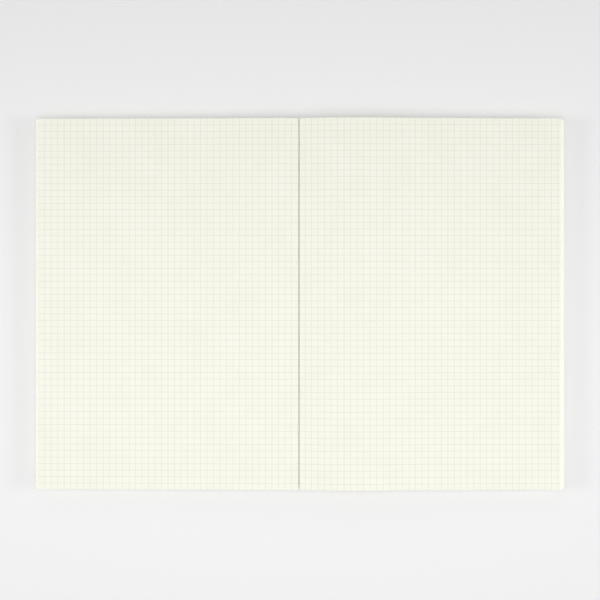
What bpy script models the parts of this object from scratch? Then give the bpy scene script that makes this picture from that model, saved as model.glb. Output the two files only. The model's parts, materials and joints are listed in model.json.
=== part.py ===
"""A thread-sewn A5 notebook lying open near its middle, spine side along Y.

Units are metres and +Z is up. The book lies on the plane z = 0. Distances called
"out" are measured from the gutter plane towards a fore-edge, on either side.
The front half (covers, lining, sections 1 to 5) lies at -X and the back half at +X.
"""
from collections import namedtuple
from math import cos, pi, sin, sqrt

import bmesh
import bpy
from mathutils import Matrix, Vector

# Sheets
PAGE_HEIGHT = 0.210
LEAF_THICKNESS = 0.0001
LEAF_PITCH = 0.000104
SHEETS_PER_SECTION = 4
ENDPAPER_THICKNESS = 0.00012
ENDPAPER_FOLD_GAP = 0.00006
COVER_THICKNESS = 0.00045
COVER_LIP = 0.0002
LINING_THICKNESS = 0.00015
LINING_WING = 0.012
AIR_GAP = 0.00003

# Score line pressed into the outside of each cover, where it bends when it is opened
SCORE_OUT = 0.0075
SCORE_WIDTH = 0.0008
SCORE_DEPTH = 0.00012

# Shape of the open block
GUTTER_HALF_GAP = 0.00015
FOLD_DEPTH = 0.00035
LEAF_ROOT_OUT = 0.0025
CLOSING_CLEARANCE = 0.0001

# Sewing: one thread at each station, laid in a sawn kerf across the folds
THREAD_DIAMETER = 0.0004
THREAD_SWAY = 0.0003
THREAD_CLEARANCE = 0.00015
KETTLE_INSET = 0.012
SEWING_STATIONS = 5

ROLL_STEPS = 7
SLOPE_STEPS = 8
FOLD_STEPS = 5
STITCH_STEPS = 4
TUBE_RESOLUTION = 1
WELD_DISTANCE = 1e-6

# Blender's fill joins points closer than 0.03 of a unit, so outlines are drawn in millimetres
DRAWN = 1000

# Each half of the book: its sections, how far out the top leaf ends, how much further the
# lowest leaf ends, how far out the block crests, how much it swells there above its
# fore-edge and how deep it rolls from there into the gutter
FRONT_SECTIONS = 5
FRONT_FORE_EDGE = 0.1480
FRONT_FAN = 0.0023
FRONT_CREST_OUT = 0.008
FRONT_SWELL = 0.0018
FRONT_ROLL = 0.0018
BACK_SECTIONS = 6
BACK_FORE_EDGE = 0.1476
BACK_FAN = 0.0036
BACK_CREST_OUT = 0.035
BACK_SWELL = 0.0024
BACK_ROLL = 0.0028

Half = namedtuple("Half", "name side first sections fore_edge fan crest_out swell roll")
FRONT = Half(
    name="front",
    side=-1,
    first=1,
    sections=FRONT_SECTIONS,
    fore_edge=FRONT_FORE_EDGE,
    fan=FRONT_FAN,
    crest_out=FRONT_CREST_OUT,
    swell=FRONT_SWELL,
    roll=FRONT_ROLL,
)
BACK = Half(
    name="back",
    side=1,
    first=FRONT_SECTIONS + 1,
    sections=BACK_SECTIONS,
    fore_edge=BACK_FORE_EDGE,
    fan=BACK_FAN,
    crest_out=BACK_CREST_OUT,
    swell=BACK_SWELL,
    roll=BACK_ROLL,
)

# Places that follow from the sizes above
LEAVES_PER_SECTION = 2 * SHEETS_PER_SECTION
SECTION_PITCH = LEAVES_PER_SECTION * LEAF_PITCH
SPINE_FACE = GUTTER_HALF_GAP + LINING_THICKNESS + AIR_GAP
LINING_BOTTOM = COVER_THICKNESS + AIR_GAP
LINING_TOP = LINING_BOTTOM + LINING_THICKNESS
PASTEDOWN_BOTTOM = LINING_TOP + AIR_GAP
PASTEDOWN_TOP = PASTEDOWN_BOTTOM + ENDPAPER_THICKNESS
FLYLEAF_BOTTOM = PASTEDOWN_TOP + ENDPAPER_FOLD_GAP
FLYLEAF_TOP = FLYLEAF_BOTTOM + ENDPAPER_THICKNESS
BLOCK_BOTTOM = FLYLEAF_TOP + AIR_GAP
LEAF_LIFT = AIR_GAP + LEAF_THICKNESS


def fore_height(half):
    return BLOCK_BOTTOM + half.sections * SECTION_PITCH


def crest_height(half):
    return fore_height(half) + half.swell


def lowest_fore_edge(half):
    return half.fore_edge + half.fan


def cover_width(half):
    return lowest_fore_edge(half) + COVER_LIP


def block_top(half, out):
    """Height of the uppermost section: rolled into the gutter, crested, then sloping down."""
    if out < half.crest_out:
        share = (half.crest_out - out) / (half.crest_out - SPINE_FACE)
        return crest_height(half) - half.roll * (1 - sqrt(max(0.0, 1 - share * share)))
    share = min(1.0, (out - half.crest_out) / (half.fore_edge - half.crest_out))
    return fore_height(half) + half.swell * (1 - share) ** 2


def layer(half, depth, out):
    """Height of a surface inside the block, with depth counted in sections from below."""
    return BLOCK_BOTTOM + (block_top(half, out) - BLOCK_BOTTOM) * depth / half.sections


def fore_edge_at(half, depth):
    """Where a leaf ends: the lower it lies, the further out it reaches."""
    return half.fore_edge + half.fan * (1 - depth / half.sections)


def stations(half, start, end):
    """Distances out from start to end, close together where the leaves roll over."""
    crest = half.crest_out
    roll = [crest - (crest - start) * cos(pi / 2 * i / ROLL_STEPS) for i in range(ROLL_STEPS)]
    slope = [crest + (end - crest) * i / SLOPE_STEPS for i in range(SLOPE_STEPS + 1)]
    return roll + slope


def highest_pair():
    """The greatest sum of both halves' heights, which meet when the book is closed."""
    outs = stations(FRONT, SPINE_FACE, FRONT.fore_edge) + stations(BACK, SPINE_FACE, BACK.fore_edge)
    return max(block_top(FRONT, out) + block_top(BACK, out) for out in outs)


GUTTER_X = (cover_width(FRONT) - cover_width(BACK)) / 2
HINGE_HEIGHT = highest_pair() / 2 + LEAF_LIFT + CLOSING_CLEARANCE


def paper(name, red, green, blue, roughness):
    material = bpy.data.materials.new(name)
    material.use_nodes = True
    shader = material.node_tree.nodes["Principled BSDF"]
    shader.inputs["Base Color"].default_value = (red, green, blue, 1)
    shader.inputs["Roughness"].default_value = roughness
    shader.inputs["Metallic"].default_value = 0
    return material


def new_collection(name):
    collection = bpy.data.collections.new(name)
    bpy.context.scene.collection.children.link(collection)
    return collection


def new_hinge(name):
    """An empty on the axis that the leaves and the front half turn about."""
    empty = bpy.data.objects.new(name, None)
    empty.empty_display_size = LINING_WING
    empty.location = (GUTTER_X, 0, HINGE_HEIGHT)
    notebook.objects.link(empty)
    return empty


def sheet_solid(name, half, outline, hinge, material):
    """Fill a side outline of (out, height) points and extrude it over the page height."""
    curve = bpy.data.curves.new(name, "CURVE")
    curve.dimensions = "2D"
    curve.fill_mode = "BOTH"
    curve.extrude = DRAWN * PAGE_HEIGHT / 2
    spline = curve.splines.new("POLY")
    spline.points.add(len(outline) - 1)
    for point, (out, height) in zip(spline.points, outline):
        point.co = (DRAWN * half.side * out, DRAWN * (height - HINGE_HEIGHT), 0, 1)
    spline.use_cyclic_u = True
    drawn = bpy.data.objects.new(name + "_outline", curve)
    notebook.objects.link(drawn)
    graph = bpy.context.evaluated_depsgraph_get()
    mesh = bpy.data.meshes.new_from_object(drawn.evaluated_get(graph))
    bpy.data.objects.remove(drawn)
    solid = bmesh.new()
    solid.from_mesh(mesh)
    bmesh.ops.scale(solid, verts=solid.verts, vec=Vector((1, 1, 1)) / DRAWN)
    bmesh.ops.remove_doubles(solid, verts=solid.verts, dist=WELD_DISTANCE)
    bmesh.ops.recalc_face_normals(solid, faces=solid.faces)
    bmesh.ops.rotate(solid, verts=solid.verts, matrix=Matrix.Rotation(pi / 2, 3, "X"))
    solid.to_mesh(mesh)
    solid.free()
    return place(name, mesh, hinge, material)


def place(name, data, hinge, material):
    piece = bpy.data.objects.new(name, data)
    piece.parent = hinge
    data.materials.clear()
    data.materials.append(material)
    notebook.objects.link(piece)
    return piece


def cover_outline(half):
    """A flat card with the score line pressed into its outer, lower face."""
    edge = cover_width(half)
    return [
        (GUTTER_HALF_GAP, 0),
        (SCORE_OUT - SCORE_WIDTH / 2, 0),
        (SCORE_OUT, SCORE_DEPTH),
        (SCORE_OUT + SCORE_WIDTH / 2, 0),
        (edge, 0),
        (edge, COVER_THICKNESS),
        (GUTTER_HALF_GAP, COVER_THICKNESS),
    ]


def lining_outline(half):
    """The gauze: one leg up the folds, and one wing between the cover and the endpaper."""
    inner = GUTTER_HALF_GAP + LINING_THICKNESS
    top = block_top(half, SPINE_FACE)
    return [
        (GUTTER_HALF_GAP, LINING_BOTTOM),
        (LINING_WING, LINING_BOTTOM),
        (LINING_WING, LINING_TOP),
        (inner, LINING_TOP),
        (inner, top),
        (GUTTER_HALF_GAP, top),
    ]


def endpaper_outline(half):
    """A folded sheet: the lower leaf is pasted to the cover and steps down past the wing."""
    edge = lowest_fore_edge(half)
    step_start = LINING_WING + 4 * LINING_THICKNESS
    step_end = step_start + 4 * LINING_THICKNESS
    pasted = COVER_THICKNESS + AIR_GAP
    inside = SPINE_FACE + ENDPAPER_THICKNESS
    return [
        (SPINE_FACE, PASTEDOWN_BOTTOM),
        (step_start, PASTEDOWN_BOTTOM),
        (step_end, pasted),
        (edge, pasted),
        (edge, pasted + ENDPAPER_THICKNESS),
        (step_end, pasted + ENDPAPER_THICKNESS),
        (step_start, PASTEDOWN_TOP),
        (inside, PASTEDOWN_TOP),
        (inside, FLYLEAF_BOTTOM),
        (edge, FLYLEAF_BOTTOM),
        (edge, FLYLEAF_TOP),
        (SPINE_FACE, FLYLEAF_TOP),
    ]


def section_outline(half, index):
    """Folded sheets: a round fold at the spine and one small step for each leaf's edge."""
    start = SPINE_FACE + FOLD_DEPTH
    # the lowest section lies flat, and the corner at its fore-edge comes with the leaves' steps
    outs = stations(half, start, fore_edge_at(half, index))[:-1] if index else [start]
    points = [(out, layer(half, index, out)) for out in outs]
    for leaf in range(LEAVES_PER_SECTION):
        low = index + leaf / LEAVES_PER_SECTION
        high = index + (leaf + 1) / LEAVES_PER_SECTION
        edge = fore_edge_at(half, low)
        roof = layer(half, high, edge)
        if leaf == LEAVES_PER_SECTION - 1:
            roof -= AIR_GAP
        points += [(edge, layer(half, low, edge)), (edge, roof)]
    outs = stations(half, start, fore_edge_at(half, index + 1))
    points += [(out, layer(half, index + 1, out) - AIR_GAP) for out in reversed(outs[:-1])]
    low = layer(half, index, start)
    high = layer(half, index + 1, start) - AIR_GAP
    for step in range(1, FOLD_STEPS):
        turn = pi / 2 + pi * step / FOLD_STEPS
        points.append((start + FOLD_DEPTH * cos(turn), (low + high + (high - low) * sin(turn)) / 2))
    return points


def leaf_outline(half):
    """The open page: a single leaf that follows the section under it, free past its root."""
    outs = stations(half, LEAF_ROOT_OUT, half.fore_edge)
    under = [(out, block_top(half, out)) for out in outs]
    over = [(out, height + LEAF_THICKNESS) for out, height in reversed(under)]
    return under + over


def sewing_places():
    """Distances along the spine of the sewing stations, with a kettle stitch at each end."""
    reach = PAGE_HEIGHT / 2 - KETTLE_INSET
    return [reach * (2 * i / (SEWING_STATIONS - 1) - 1) for i in range(SEWING_STATIONS)]


def kerf_cutter(half, hinge):
    """A box for each sewing station, across every fold of one half."""
    depth = THREAD_DIAMETER + 2 * THREAD_CLEARANCE
    width = THREAD_DIAMETER + 2 * THREAD_SWAY + 2 * THREAD_CLEARANCE
    inner = GUTTER_HALF_GAP
    outer = SPINE_FACE + depth
    boxes = bmesh.new()
    for along in sewing_places():
        box = bmesh.ops.create_cube(boxes, size=1)["verts"]
        bmesh.ops.scale(boxes, verts=box, vec=(outer - inner, width, 2 * HINGE_HEIGHT))
        middle = Vector((half.side * (inner + outer) / 2, along, 0))
        bmesh.ops.translate(boxes, verts=box, vec=middle)
    mesh = bpy.data.meshes.new(half.name + "_kerf_cutter")
    boxes.to_mesh(mesh)
    boxes.free()
    cutter = bpy.data.objects.new(mesh.name, mesh)
    cutter.parent = hinge
    cutter.hide_render = True
    cutter.display_type = "WIRE"
    cutters.objects.link(cutter)
    return cutter


def add_sections(half, hinge):
    cutter = kerf_cutter(half, hinge)
    for index in range(half.sections):
        name = f"section_{half.first + index:02d}"
        section = sheet_solid(name, half, section_outline(half, index), hinge, page_paper)
        kerf = section.modifiers.new("sewing kerfs", "BOOLEAN")
        kerf.operation = "DIFFERENCE"
        kerf.object = cutter


def add_threads(half, hinge):
    """Each station's thread climbs the folds and sways once to each side of every link."""
    out = SPINE_FACE + THREAD_CLEARANCE + THREAD_DIAMETER / 2
    low = BLOCK_BOTTOM + THREAD_DIAMETER / 2
    high = block_top(half, SPINE_FACE) - THREAD_DIAMETER / 2
    count = STITCH_STEPS * half.sections
    for number, along in enumerate(sewing_places(), 1):
        name = f"{half.name}_thread_{number}"
        curve = bpy.data.curves.new(name, "CURVE")
        curve.dimensions = "3D"
        curve.bevel_depth = THREAD_DIAMETER / 2
        curve.bevel_resolution = TUBE_RESOLUTION
        curve.use_fill_caps = True
        spline = curve.splines.new("POLY")
        spline.points.add(count)
        for step, point in enumerate(spline.points):
            sway = THREAD_SWAY * sin(2 * pi * step / STITCH_STEPS)
            height = low + (high - low) * step / count
            point.co = (half.side * out, along + sway, height - HINGE_HEIGHT, 1)
        place(name, curve, hinge, linen)


def add_half(half, hinge):
    sheet_solid(f"{half.name}_cover", half, cover_outline(half), hinge, cover_card)
    sheet_solid(f"{half.name}_spine_lining", half, lining_outline(half), hinge, gauze)
    sheet_solid(f"{half.name}_endpaper", half, endpaper_outline(half), hinge, end_paper)
    add_sections(half, hinge)
    add_threads(half, hinge)


for old in list(bpy.data.objects):
    bpy.data.objects.remove(old)

notebook = new_collection("notebook")
cutters = new_collection("cutters")

page_paper = paper("cream page paper", 0.88, 0.88, 0.80, 0.75)
end_paper = paper("cream endpaper", 0.86, 0.85, 0.77, 0.8)
cover_card = paper("ivory cover card", 0.84, 0.82, 0.73, 0.7)
gauze = paper("white spine gauze", 0.82, 0.82, 0.78, 0.9)
linen = paper("white sewing thread", 0.85, 0.85, 0.82, 0.8)

front_hinge = new_hinge("front_half_hinge")
back_hinge = new_hinge("back_half_hinge")
add_half(FRONT, front_hinge)
add_half(BACK, back_hinge)

left_leaf_hinge = new_hinge("left_leaf_hinge")
right_leaf_hinge = new_hinge("right_leaf_hinge")
sheet_solid("left_open_leaf", FRONT, leaf_outline(FRONT), left_leaf_hinge, page_paper)
sheet_solid("right_open_leaf", BACK, leaf_outline(BACK), right_leaf_hinge, page_paper)
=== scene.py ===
"""The looks of a thread-sewn squared notebook that lies open near its middle.

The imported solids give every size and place. Units are metres, +Z is up and the spine runs
along Y. "Out" is a distance from the gutter towards a fore-edge, on either side.
"""
import json
import math
import random
from collections import namedtuple

import bmesh
import bpy
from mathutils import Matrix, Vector


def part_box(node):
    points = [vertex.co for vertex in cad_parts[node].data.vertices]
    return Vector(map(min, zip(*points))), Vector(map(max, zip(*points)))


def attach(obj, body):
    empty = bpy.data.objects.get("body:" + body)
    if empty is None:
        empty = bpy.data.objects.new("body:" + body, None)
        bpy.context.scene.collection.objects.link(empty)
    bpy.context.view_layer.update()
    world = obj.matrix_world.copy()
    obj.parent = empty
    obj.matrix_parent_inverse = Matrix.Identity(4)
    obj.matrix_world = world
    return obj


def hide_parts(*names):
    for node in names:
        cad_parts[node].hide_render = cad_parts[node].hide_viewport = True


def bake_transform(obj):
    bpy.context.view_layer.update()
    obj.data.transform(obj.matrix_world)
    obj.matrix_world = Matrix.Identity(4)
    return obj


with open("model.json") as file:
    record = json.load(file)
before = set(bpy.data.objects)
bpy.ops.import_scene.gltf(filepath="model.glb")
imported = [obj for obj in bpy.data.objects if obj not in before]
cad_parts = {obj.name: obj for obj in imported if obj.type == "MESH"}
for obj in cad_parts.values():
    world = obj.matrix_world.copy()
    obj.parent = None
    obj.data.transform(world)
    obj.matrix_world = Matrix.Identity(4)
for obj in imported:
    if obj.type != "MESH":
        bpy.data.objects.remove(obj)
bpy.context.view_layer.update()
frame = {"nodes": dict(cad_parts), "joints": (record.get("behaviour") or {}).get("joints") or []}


# Page paper
# Cream wood-free writing paper of 80 g/m2, machine-made and uncoated, so it is matt with a
# faint cloudy look-through. A grey-green grid is printed nearly to the sheet's edges.
Stock = namedtuple("Stock", "name roughness plain cloud cloud_size fibre_size fibre_depth")
PAGE_STOCK = Stock(
    "squared writing paper",
    roughness=0.86,
    plain="F6F5E9",
    cloud="F3F3E6",
    cloud_size=0.014,
    fibre_size=0.0007,
    fibre_depth=0.00002,
)
# Trimmed edges show the same paper, with the fibres standing open. Their colour is painted
# lighter than the page paper, as a painted highlight for the light the fanned fore-edges catch.
LIGHTENED_EDGE_STOCK = Stock(
    "cut paper edge",
    roughness=0.95,
    plain="FBFAEF",
    cloud="F9F8EC",
    cloud_size=0.014,
    fibre_size=0.0007 / 3,
    fibre_depth=0.00001,
)
PAPER_IOR = 1.47
CLOUD_RANGE = (0.35, 0.65)
FIBRE_STRENGTH = 0.35
GRID_INK = "E2E4D6"
LINE_WIDTH = 0.00026
LINE_SOFTNESS = 0.00006
SQUARE = 0.003685
PRINT_MARGIN_SQUARES = 0.5


def srgb(text):
    """The linear colour of an sRGB hex value."""
    parts = [int(text[i : i + 2], 16) / 255 for i in (0, 2, 4)]
    return [c / 12.92 if c <= 0.04045 else ((c + 0.055) / 1.055) ** 2.4 for c in parts] + [1]


def add_node(owner, kind, inputs=None, **settings):
    """One node with its settings; each input takes a value or another node's output."""
    node = owner.node_tree.nodes.new(kind)
    for name, value in settings.items():
        setattr(node, name, value)
    for name, value in (inputs or {}).items():
        if isinstance(value, bpy.types.NodeSocket):
            owner.node_tree.links.new(value, node.inputs[name])
        else:
            node.inputs[name].default_value = value
    return node


def stripes(material, place, pitch, core, reach, **settings):
    """1 along lines a pitch apart, out to core on both sides of each, and 0 beyond reach."""
    folded = {0: place, 1: pitch / 2}
    away = add_node(material, "ShaderNodeMath", folded, operation="PINGPONG").outputs[0]
    fade = {"Value": away, "From Min": core, "From Max": reach, "To Min": 1.0, "To Max": 0.0}
    return add_node(material, "ShaderNodeMapRange", fade, **settings).outputs["Result"]


def new_material(name, ior, roughness):
    """A material with an empty Principled shader, and that shader."""
    material = bpy.data.materials.new(name)
    material.use_nodes = True
    shader = material.node_tree.nodes["Principled BSDF"]
    shader.inputs["IOR"].default_value = ior
    shader.inputs["Roughness"].default_value = roughness
    return material, shader


def sheet_texture(stock):
    """Clouds and a felt of fibres, which are drawn coarser than real ones so that they show.

    Both are fixed to the object. The colour output comes back with the material.
    """
    material, shader = new_material(stock.name, PAPER_IOR, stock.roughness)
    place = add_node(material, "ShaderNodeTexCoord").outputs["Object"]
    cloudy = {"Vector": place, "Scale": 1 / stock.cloud_size, "Detail": 5.0, "Roughness": 0.6}
    clouds = add_node(material, "ShaderNodeTexNoise", cloudy).outputs["Fac"]
    spread = {"Value": clouds, "From Min": CLOUD_RANGE[0], "From Max": CLOUD_RANGE[1]}
    share = add_node(material, "ShaderNodeMapRange", spread).outputs["Result"]
    tones = {"Factor": share, "A": srgb(stock.plain), "B": srgb(stock.cloud)}
    colour = add_node(material, "ShaderNodeMix", tones, data_type="RGBA").outputs["Result"]
    felted = {"Vector": place, "Scale": 1 / stock.fibre_size, "Detail": 3.0, "Distortion": 0.6}
    fibres = add_node(material, "ShaderNodeTexNoise", felted).outputs["Fac"]
    relief = {"Height": fibres, "Strength": FIBRE_STRENGTH, "Distance": stock.fibre_depth}
    bump = add_node(material, "ShaderNodeBump", relief).outputs["Normal"]
    material.node_tree.links.new(bump, shader.inputs["Normal"])
    return material, shader, colour


def plain_paper(stock):
    """Paper or card with nothing printed on it."""
    material, shader, colour = sheet_texture(stock)
    material.node_tree.links.new(colour, shader.inputs["Base Color"])
    return material


def printed_paper():
    """Page paper with the grid. Its UV map counts squares, inwards from the first line and down."""
    material, shader, paper = sheet_texture(PAGE_STOCK)
    squares = add_node(material, "ShaderNodeUVMap", uv_map="squares").outputs["UV"]
    split = add_node(material, "ShaderNodeSeparateXYZ", {"Vector": squares}).outputs
    core = (LINE_WIDTH - LINE_SOFTNESS) / 2 / SQUARE
    reach = (LINE_WIDTH + LINE_SOFTNESS) / 2 / SQUARE
    upright, level = (stripes(material, split[axis], 1.0, core, reach) for axis in ("X", "Y"))
    inside = {0: split["X"], 1: -PRINT_MARGIN_SQUARES}
    within = add_node(material, "ShaderNodeMath", inside, operation="GREATER_THAN").outputs[0]
    kept = {0: upright, 1: within}
    upright = add_node(material, "ShaderNodeMath", kept, operation="MULTIPLY").outputs[0]
    crossed = {0: upright, 1: level}
    inked = add_node(material, "ShaderNodeMath", crossed, operation="MAXIMUM").outputs[0]
    tones = {"Factor": inked, "A": paper, "B": srgb(GRID_INK)}
    colour = add_node(material, "ShaderNodeMix", tones, data_type="RGBA").outputs["Result"]
    material.node_tree.links.new(colour, shader.inputs["Base Color"])
    return material


page_paper = printed_paper()
# The cut edges' paper is painted lighter than the pages: a painted highlight.
lightened_cut_edge = plain_paper(LIGHTENED_EDGE_STOCK)


# Page block
# Eleven sections of four folded sheets. Each sheet is folded at the spine, the four are
# nested, and the trimmed leaves fan out at the fore-edge because the book lies open.
LEAF_THICKNESS = 0.0001
SHEET_THICKNESS = 0.000094
SHEETS_PER_SECTION = 4
LEAVES_PER_SECTION = 2 * SHEETS_PER_SECTION
FRONT_CREST_OUT = 0.008
BACK_CREST_OUT = 0.035
FOLD_DEPTH = 0.00035
ROLL_STEPS = 7
SLOPE_STEPS = 8
FOLD_STEPS = 6
SHEET_ROWS = 6
TRIM_ERROR = 0.00005
CUT_SLANT = 1.0

Half = namedtuple(
    "Half",
    "name side first sections fore_edge lowest_edge bottom crest_out crest fore_height spine_top",
)
Grid = namedtuple("Grid", "start_across pitch_across start_down pitch_down")
GUTTER_X = (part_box("front_cover")[1].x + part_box("back_cover")[0].x) / 2
SPINE_FACE = GUTTER_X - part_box("section_01")[1].x
PAGE_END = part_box("section_01")[1].y


def read_half(name, side, first, sections, leaf, crest_out):
    """A half's shape, read from the solids of its lowest section, open leaf and lining."""
    leaf_low, leaf_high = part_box(leaf)
    low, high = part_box(f"section_{first:02d}")
    return Half(
        name=name,
        side=side,
        first=first,
        sections=sections,
        fore_edge=max(side * (leaf_low.x - GUTTER_X), side * (leaf_high.x - GUTTER_X)),
        lowest_edge=max(side * (low.x - GUTTER_X), side * (high.x - GUTTER_X)),
        bottom=low.z,
        crest_out=crest_out,
        crest=leaf_high.z - LEAF_THICKNESS,
        fore_height=leaf_low.z,
        spine_top=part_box(f"{name}_spine_lining")[1].z,
    )


FRONT = read_half("front", -1, 1, 5, "left_open_leaf", FRONT_CREST_OUT)
BACK = read_half("back", 1, 6, 6, "right_open_leaf", BACK_CREST_OUT)


def block_top(half, out):
    """Height of the block under the open leaf: rolled into the gutter, crested, then sloping."""
    if out < half.crest_out:
        share = (half.crest_out - out) / (half.crest_out - SPINE_FACE)
        drop = 1 - math.sqrt(max(0.0, 1 - share * share))
        return half.crest - (half.crest - half.spine_top) * drop
    share = min(1.0, (out - half.crest_out) / (half.fore_edge - half.crest_out))
    return half.fore_height + (half.crest - half.fore_height) * (1 - share) ** 2


def layer(half, depth, out):
    """Height of a leaf inside the block, with its depth counted in sections from below."""
    return half.bottom + (block_top(half, out) - half.bottom) * depth / half.sections


def edge_at(half, depth):
    """Where a leaf ends: the lower it lies, the further out it reaches."""
    return half.fore_edge + (half.lowest_edge - half.fore_edge) * (1 - depth / half.sections)


def stations(half, start, end, roll_steps=ROLL_STEPS, slope_steps=SLOPE_STEPS):
    """Distances out from start to end, close together where the paper rolls over."""
    crest = half.crest_out
    roll = [crest - (crest - start) * math.cos(math.pi / 2 * i / roll_steps) for i in range(roll_steps)]
    return roll + [crest + (end - crest) * i / slope_steps for i in range(slope_steps + 1)]


def folded_profile(half, index, sheet, jitter):
    """From the upper leaf's fore-edge, round the fold, to the lower leaf's fore-edge."""
    upper = index + (LEAVES_PER_SECTION - sheet - 0.5) / LEAVES_PER_SECTION
    lower = index + (sheet + 0.5) / LEAVES_PER_SECTION
    start = SPINE_FACE + FOLD_DEPTH
    above, below = (
        [(out, layer(half, depth, out)) for out in stations(half, start, edge_at(half, depth) - jitter)]
        for depth in (upper, lower)
    )
    reach = FOLD_DEPTH * (1 - (sheet + 0.5) / SHEETS_PER_SECTION)
    middle = (above[0][1] + below[0][1]) / 2
    rise = (above[0][1] - below[0][1]) / 2
    turns = [math.pi * i / FOLD_STEPS for i in range(1, FOLD_STEPS)]
    fold = [(start - reach * math.sin(turn), middle + rise * math.cos(turn)) for turn in turns]
    return above[::-1] + fold + below


def lengths_along(profile):
    """How far along the sheet each ruling lies."""
    lengths = [0.0]
    for start, finish in zip(profile, profile[1:]):
        lengths.append(lengths[-1] + math.dist(start, finish))
    return lengths


def bend_sheet(mesh, side, profile, lengths, rows, end, grid):
    """Lays out a flat sheet, moves each ruling of it onto the profile and maps the grid on it."""
    flat = bmesh.ops.create_grid(mesh, x_segments=len(profile) - 1, y_segments=rows, size=1)["verts"]
    uv = mesh.loops.layers.uv.verify()
    trimmed = mesh.verts.layers.int.get("trimmed")
    for vertex in flat:
        ruling = round((vertex.co.x + 1) / 2 * (len(profile) - 1))
        out, height = profile[ruling]
        vertex.co = (GUTTER_X + side * out, vertex.co.y * end, height)
        if trimmed:
            vertex[trimmed] = ruling in (0, len(profile) - 1)
        across = (lengths[ruling] - grid.start_across) / grid.pitch_across
        down = (PAGE_END - vertex.co.y - grid.start_down) / grid.pitch_down
        for loop in vertex.link_loops:
            loop[uv].uv = (across, down)
    return flat


def add_piece(name, mesh, *materials):
    """Makes an object of a loose mesh."""
    data = bpy.data.meshes.new(name)
    mesh.to_mesh(data)
    mesh.free()
    for material in materials:
        data.materials.append(material)
    piece = bpy.data.objects.new(name, data)
    bpy.context.scene.collection.objects.link(piece)
    return piece


def finish_sheet(name, mesh, material, edge, thickness):
    """Makes the sheet an object, with its thickness on both sides of its middle surface."""
    bmesh.ops.recalc_face_normals(mesh, faces=mesh.faces)
    piece = add_piece(name, mesh, material, edge)
    wall = piece.modifiers.new("paper thickness", "SOLIDIFY")
    wall.thickness = thickness
    wall.offset = 0
    wall.material_offset_rim = 1
    return piece


def slant_cuts(piece, half):
    """Lets each trimmed edge reach out at its lower side, where the blade spread the fibres."""
    graph = bpy.context.evaluated_depsgraph_get()
    flat_count = len(piece.data.vertices)
    solid = bpy.data.meshes.new_from_object(piece.evaluated_get(graph))
    step = (half.lowest_edge - half.fore_edge) / half.sections / LEAVES_PER_SECTION
    marks = piece.data.attributes["trimmed"].data
    for index in range(flat_count):
        if marks[index].value:
            pair = (solid.vertices[index], solid.vertices[index + flat_count])
            lower = min(pair, key=lambda vertex: vertex.co.z)
            lower.co.x += half.side * CUT_SLANT * step
    piece.modifiers.clear()
    piece.data = solid


def bind_sections(half):
    """Each section of the half, from the lowest up, as four nested sheets."""
    chance = random.Random(half.first)
    for index in range(half.sections):
        number = half.first + index
        mesh = bmesh.new()
        mesh.loops.layers.uv.new("squares")
        mesh.verts.layers.int.new("trimmed")
        for sheet in range(SHEETS_PER_SECTION):
            profile = folded_profile(half, index, sheet, chance.uniform(0, TRIM_ERROR))
            grid = Grid(chance.uniform(0, SQUARE), SQUARE, chance.uniform(0, SQUARE), SQUARE)
            end = PAGE_END - chance.uniform(0, TRIM_ERROR)
            bend_sheet(mesh, half.side, profile, lengths_along(profile), SHEET_ROWS, end, grid)
        name = f"folded_sheets_{number:02d}"
        section = finish_sheet(name, mesh, page_paper, lightened_cut_edge, SHEET_THICKNESS)
        slant_cuts(section, half)
        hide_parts(f"section_{number:02d}")
        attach(section, f"{half.name}_half")


bind_sections(FRONT)
bind_sections(BACK)


# Open leaves
# The two pages that show. Each is the uppermost leaf of its half, lies on the leaves below
# with a faint cockle, and rolls down at its root into the gutter.
LEAF_ROOT = 0.0003
LEAF_ROLL_STEPS = 22
LEAF_SLOPE_STEPS = 40
LEAF_ROWS = 48
COCKLE = 0.00010
COCKLE_START = 0.008
COCKLE_LENGTHS = (0.083, 0.047)
COCKLE_SLANTS = (0.3, 0.2)
# The first lines' distance from the fore-edge and from the head, each with its pitch.
LEFT_PRINT = Grid(0.003878, 0.003678, 0.0001, 0.0036845)
RIGHT_PRINT = Grid(0.00145, 0.0036654, 0.0001, 0.0036856)


def cockle_leaf(half, vertices):
    """Lifts the paper by fractions of a millimetre, in long waves that die out at the gutter."""
    long_wave, short_wave = (math.tau / length for length in COCKLE_LENGTHS)
    long_slant, short_slant = COCKLE_SLANTS
    for vertex in vertices:
        out = half.side * (vertex.co.x - GUTTER_X)
        share = max(0.0, (out - COCKLE_START) / (half.fore_edge - COCKLE_START))
        along = math.sin(long_wave * (vertex.co.y + long_slant * out))
        wave = along * math.cos(short_wave * (out - short_slant * vertex.co.y))
        vertex.co.z += COCKLE * share * (1 + wave) / 2


def lay_leaf(name, half, grid):
    """An open page from its root in the gutter to its fore-edge."""
    outs = stations(half, LEAF_ROOT, half.fore_edge, LEAF_ROLL_STEPS, LEAF_SLOPE_STEPS)
    profile = [(out, block_top(half, out) + LEAF_THICKNESS / 2) for out in reversed(outs)]
    mesh = bmesh.new()
    mesh.loops.layers.uv.new("squares")
    lengths = lengths_along(profile)
    vertices = bend_sheet(mesh, half.side, profile, lengths, LEAF_ROWS, PAGE_END, grid)
    cockle_leaf(half, vertices)
    leaf = finish_sheet(name, mesh, page_paper, lightened_cut_edge, SHEET_THICKNESS)
    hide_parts(name[: -len("_page")] + "_leaf")
    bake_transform(leaf)


lay_leaf("left_open_page", FRONT, LEFT_PRINT)
lay_leaf("right_open_page", BACK, RIGHT_PRINT)


# Sewing thread
# White three-ply linen, pulled through the kerfs at five stations across the folds. The
# plies are twisted, so fine slanting ridges catch the light; the grooves between them are
# painted darker as painted shade.
THREAD = "E9E8E1"
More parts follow.
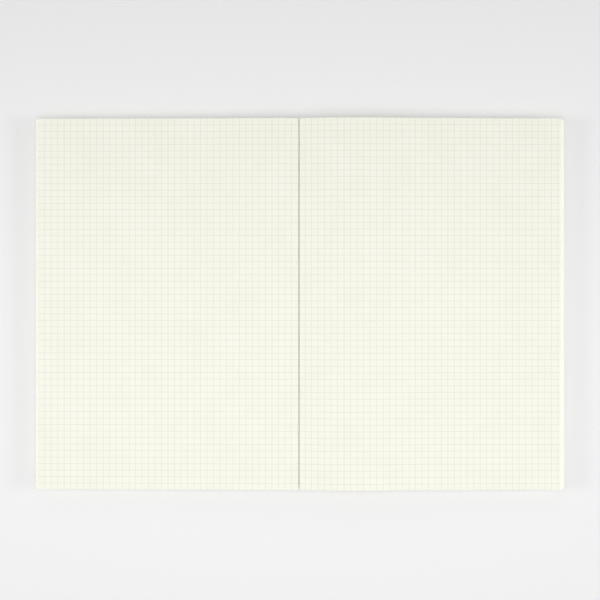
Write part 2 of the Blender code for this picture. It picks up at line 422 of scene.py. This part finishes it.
# The darker tone is painted shade for the grooves between the plies.
PAINTED_GROOVE_SHADE = "CFCDC2"
THREAD_ROUGHNESS = 0.8
CELLULOSE_IOR = 1.53
PLY_LENGTH = 0.0005
PLY_TURN = (0.6, 0.4, 0.0)
PLY_WAVINESS = 1.5
PLY_DEPTH = 0.00004
# The wave texture's bands lie this far apart at a scale of 1.
WAVE_PERIOD = 0.314


def twisted_linen():
    """Bands that slant across the thread in relief, with painted shade darkening the grooves."""
    material, shader = new_material("three-ply linen thread", CELLULOSE_IOR, THREAD_ROUGHNESS)
    place = add_node(material, "ShaderNodeTexCoord").outputs["Object"]
    turned = add_node(material, "ShaderNodeMapping", {"Vector": place, "Rotation": PLY_TURN})
    bands = {
        "Vector": turned.outputs["Vector"],
        "Scale": WAVE_PERIOD / PLY_LENGTH,
        "Distortion": PLY_WAVINESS,
        "Detail": 2.0,
    }
    plies = add_node(material, "ShaderNodeTexWave", bands, bands_direction="Z").outputs["Fac"]
    # The grooves between the plies get the darker tone: painted shade.
    tones = {"Factor": plies, "A": srgb(PAINTED_GROOVE_SHADE), "B": srgb(THREAD)}
    colour = add_node(material, "ShaderNodeMix", tones, data_type="RGBA").outputs["Result"]
    relief = {"Height": plies, "Distance": PLY_DEPTH}
    bump = add_node(material, "ShaderNodeBump", relief).outputs["Normal"]
    material.node_tree.links.new(colour, shader.inputs["Base Color"])
    material.node_tree.links.new(bump, shader.inputs["Normal"])
    return material


def dress(nodes, material):
    """Puts a finish on solids whose shape is already right."""
    for name in nodes:
        frame["nodes"][name].data.materials.clear()
        frame["nodes"][name].data.materials.append(material)


dress([name for name in frame["nodes"] if "_thread_" in name], twisted_linen())


# Spine gauze
# Open-weave cotton mull, glued up the folds of both halves and over the joint between them,
# with a wing on each side that is caught between the cover and the endpaper.
GAUZE = "EDECE6"
GAUZE_GLUE = "D9D6C9"
GAUZE_ROUGHNESS = 0.9
GAUZE_THICKNESS = 0.00011
GAUZE_INSET = 0.001
GAUZE_GAP = 0.00002
WING_MIDDLE = 0.000075
WING_RULING = 0.001
WING_STEPS = 12
LEG_STEPS = 6
WEAVE_PITCH = 0.0009
WEAVE_THREAD = 0.0005
WEAVE_DEPTH = 0.00008
JOINT_RISE = 0.00012
JOINT_STEPS = 16
GAUZE_ROWS = 60
# The cloth's UV map counts metres.
METRES = Grid(0, 1, 0, 1)


def woven_mull():
    """Warp and weft as two sets of ridges on the cloth's own UV map, glue in the gaps."""
    material, shader = new_material("cotton mull", CELLULOSE_IOR, GAUZE_ROUGHNESS)
    metres = add_node(material, "ShaderNodeUVMap", uv_map="metres").outputs["UV"]
    split = add_node(material, "ShaderNodeSeparateXYZ", {"Vector": metres}).outputs
    rounded = {"core": 0.0, "reach": WEAVE_THREAD / 2, "interpolation_type": "SMOOTHSTEP"}
    warp, weft = (stripes(material, split[axis], WEAVE_PITCH, **rounded) for axis in ("X", "Y"))
    cloth = add_node(material, "ShaderNodeMath", {0: warp, 1: weft}, operation="MAXIMUM").outputs[0]
    tones = {"Factor": cloth, "A": srgb(GAUZE_GLUE), "B": srgb(GAUZE)}
    colour = add_node(material, "ShaderNodeMix", tones, data_type="RGBA").outputs["Result"]
    relief = {"Height": cloth, "Distance": WEAVE_DEPTH}
    bump = add_node(material, "ShaderNodeBump", relief).outputs["Normal"]
    material.node_tree.links.new(colour, shader.inputs["Base Color"])
    material.node_tree.links.new(bump, shader.inputs["Normal"])
    return material


def gauze_profile():
    """Signed distance out and height, from the front wing's edge to the back wing's edge."""
    wing_low, wing_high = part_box("front_spine_lining")
    wing_out = GUTTER_X - wing_low.x
    leg_out = GUTTER_X - wing_high.x + GAUZE_THICKNESS / 2 + GAUZE_GAP
    wing_height = wing_low.z + WING_MIDDLE
    points = [(-wing_out + WING_RULING * i, wing_height) for i in range(WING_STEPS)]
    points.append((-leg_out, wing_height))
    rise = FRONT.spine_top - wing_height
    points += [(-leg_out, wing_height + rise * i / LEG_STEPS) for i in range(1, LEG_STEPS)]
    for step in range(JOINT_STEPS + 1):
        share = step / JOINT_STEPS
        height = FRONT.spine_top + (BACK.spine_top - FRONT.spine_top) * share
        points.append((leg_out * (2 * share - 1), height + JOINT_RISE * math.sin(math.pi * share)))
    drop = BACK.spine_top - wing_height
    points += [(leg_out, BACK.spine_top - drop * i / LEG_STEPS) for i in range(1, LEG_STEPS + 1)]
    wing = wing_out - leg_out
    points += [(leg_out + wing * i / WING_STEPS, wing_height) for i in range(1, WING_STEPS + 1)]
    return points, leg_out


def slack_lengths(points, leg_out):
    """How far along the gauze each ruling lies, with the slack that lets the book close."""
    hinge_height = frame["joints"][0]["pos_m"][2]
    slack_step = math.pi * (hinge_height - BACK.spine_top) / JOINT_STEPS
    lengths = [0.0]
    for start, finish in zip(points, points[1:]):
        over_joint = start[0] != finish[0] and max(abs(start[0]), abs(finish[0])) <= leg_out
        lengths.append(lengths[-1] + (slack_step if over_joint else math.dist(start, finish)))
    return lengths


def hang_gauze():
    """One strip that is shared by both halves and bends over the joint."""
    points, leg_out = gauze_profile()
    mesh = bmesh.new()
    mesh.loops.layers.uv.new("metres")
    end = PAGE_END - GAUZE_INSET
    lengths = slack_lengths(points, leg_out)
    bend_sheet(mesh, 1, points, lengths, GAUZE_ROWS, end, METRES)
    mull = woven_mull()
    gauze = finish_sheet("spine_gauze_strip", mesh, mull, mull, GAUZE_THICKNESS)
    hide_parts("front_spine_lining", "back_spine_lining")
    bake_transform(gauze)


hang_gauze()


# Endpapers
# A folded sheet of heavier cream paper at each end, one leaf pasted to the cover and the
# other free. It is a little warmer and rougher than the pages.
ENDPAPER_STOCK = Stock(
    "cream endpaper",
    roughness=0.88,
    plain="EFEDE0",
    cloud="EAE8D9",
    cloud_size=0.010,
    fibre_size=0.0009,
    fibre_depth=0.00003,
)

dress(["front_endpaper", "back_endpaper"], plain_paper(ENDPAPER_STOCK))


# Covers
# Ivory card of about 350 g/m2, uncoated and calendered, with a score line pressed in beside
# the spine where each cover bends. Its fibres show as fine flecks.
COVER_STOCK = Stock(
    "ivory cover card",
    roughness=0.7,
    plain="E9E6D8",
    cloud="E6E3D4",
    cloud_size=0.003,
    fibre_size=0.0008,
    fibre_depth=0.00005,
)

dress(["front_cover", "back_cover"], plain_paper(COVER_STOCK))


# Table
# A pale matt studio table that takes the notebook's shadow and runs into a backdrop of its
# own tone further out. It is clear from below, and for rays that have only just left a
# cover, so that it neither hides nor blackens the covers.
TABLE = "F0F0F0"
TABLE_IOR = 1.45
TABLE_ROUGHNESS = 0.9
TABLE_SPECULAR = 0.2
TABLE_SPAN = 6.0
TABLE_DROP = 0.0001
CLEAR_REACH = 0.0005
BACKDROP_START = 0.26
BACKDROP_FULL = 0.50


def table_paint():
    """Matt paint near the notebook, the bare backdrop far from it, nothing from below."""
    material, paint = new_material("matt white table", TABLE_IOR, TABLE_ROUGHNESS)
    paint.inputs["Base Color"].default_value = srgb(TABLE)
    paint.inputs["Specular IOR Level"].default_value = TABLE_SPECULAR
    place = add_node(material, "ShaderNodeTexCoord").outputs["Object"]
    away = add_node(material, "ShaderNodeVectorMath", {0: place}, operation="LENGTH").outputs["Value"]
    fade = {"Value": away, "From Min": BACKDROP_START, "From Max": BACKDROP_FULL}
    far = add_node(material, "ShaderNodeMapRange", fade, interpolation_type="SMOOTHSTEP")
    rays = add_node(material, "ShaderNodeLightPath").outputs
    looked_at = {0: far.outputs["Result"], 1: rays["Is Camera Ray"]}
    share = add_node(material, "ShaderNodeMath", looked_at, operation="MULTIPLY").outputs[0]
    backdrop = add_node(material, "ShaderNodeEmission", {"Color": srgb(TABLE), "Strength": 1.0})
    seen = {0: share, 1: paint.outputs[0], 2: backdrop.outputs[0]}
    painted = add_node(material, "ShaderNodeMixShader", seen).outputs[0]
    from_below = add_node(material, "ShaderNodeNewGeometry").outputs["Backfacing"]
    close_by = {0: rays["Ray Length"], 1: CLEAR_REACH}
    from_cover = add_node(material, "ShaderNodeMath", close_by, operation="LESS_THAN").outputs[0]
    either = {0: from_below, 1: from_cover}
    unseen = add_node(material, "ShaderNodeMath", either, operation="MAXIMUM").outputs[0]
    clear = add_node(material, "ShaderNodeBsdfTransparent").outputs[0]
    top = add_node(material, "ShaderNodeMixShader", {0: unseen, 1: painted, 2: clear}).outputs[0]
    surface = material.node_tree.nodes["Material Output"].inputs["Surface"]
    material.node_tree.links.new(top, surface)
    return material


def studio_table():
    """A flat square just under the covers."""
    mesh = bmesh.new()
    corners = bmesh.ops.create_grid(mesh, x_segments=1, y_segments=1, size=TABLE_SPAN / 2)["verts"]
    bmesh.ops.translate(mesh, verts=corners, vec=(0, 0, -TABLE_DROP))
    table = add_piece("table", mesh, table_paint())


studio_table()


# Light
# A broad soft lamp hangs over the table, and smaller ones stand around it. The pale room
# gives over a third of the light, so only soft shadows lie along the edges of the notebook.
ROOM = "FFFFFF"
ROOM_STRENGTH = 0.432

Lamp = namedtuple("Lamp", "name place target_y width depth watts spread")
LAMPS = (
    Lamp("overhead lamp", (0.0, -0.07, 0.50), -0.07, 1.40, 0.40, 1.11, 140),
    Lamp("front lamp", (0.0, -0.80, 0.93), -0.02, 0.60, 0.30, 0.157, 60),
    Lamp("back lamp", (0.0, 1.10, 0.50), 0.0, 1.00, 0.30, 0.197, 60),
    Lamp("left lamp", (-1.58, -0.07, 0.56), -0.07, 0.60, 0.30, 1.01, 60),
    Lamp("right lamp", (1.58, -0.07, 0.52), -0.07, 0.60, 0.30, 1.03, 60),
)


def hang_lamp(lamp):
    """A rectangular diffuser that points at the table and isn't seen itself."""
    light = bpy.data.lights.new(lamp.name, "AREA")
    light.shape = "RECTANGLE"
    light.size = lamp.width
    light.size_y = lamp.depth
    light.energy = lamp.watts
    light.spread = math.radians(lamp.spread)
    hung = bpy.data.objects.new(lamp.name, light)
    hung.location = lamp.place
    aim = Vector((0, lamp.target_y, 0)) - Vector(lamp.place)
    hung.rotation_euler = aim.to_track_quat("-Z", "Y").to_euler()
    hung.visible_camera = False
    bpy.context.scene.collection.objects.link(hung)


def light_room():
    """The room lights the notebook, and the camera sees the backdrop's tone in its place."""
    room = bpy.data.worlds.new("pale room")
    room.use_nodes = True
    light = room.node_tree.nodes["Background"]
    light.inputs["Color"].default_value = srgb(ROOM)
    light.inputs["Strength"].default_value = ROOM_STRENGTH
    backdrop = add_node(room, "ShaderNodeBackground", {"Color": srgb(TABLE), "Strength": 1.0})
    seen = add_node(room, "ShaderNodeLightPath").outputs["Is Camera Ray"]
    parts = {0: seen, 1: light.outputs[0], 2: backdrop.outputs[0]}
    both = add_node(room, "ShaderNodeMixShader", parts).outputs[0]
    room.node_tree.links.new(both, room.node_tree.nodes["World Output"].inputs["Surface"])
    bpy.context.scene.world = room
    for lamp in LAMPS:
        hang_lamp(lamp)


light_room()


# Camera
# It looks straight down on the open book from half a metre above the table, with the head of
# the pages at the top of the picture.
PICTURE = 600
CAMERA_HEIGHT = 0.476
CAMERA_X = -0.00005
CAMERA_Y = 0.00223
FOCAL_PIXELS = 831.4
CLIP_START = 0.01

camera_data = bpy.data.cameras.new("camera")
camera_data.lens = camera_data.sensor_width * FOCAL_PIXELS / PICTURE
camera_data.clip_start = CLIP_START
camera = bpy.data.objects.new("camera", camera_data)
camera.location = (CAMERA_X, CAMERA_Y, CAMERA_HEIGHT)
bpy.context.scene.collection.objects.link(camera)
bpy.context.scene.camera = camera
bpy.context.scene.view_settings.view_transform = "Standard"
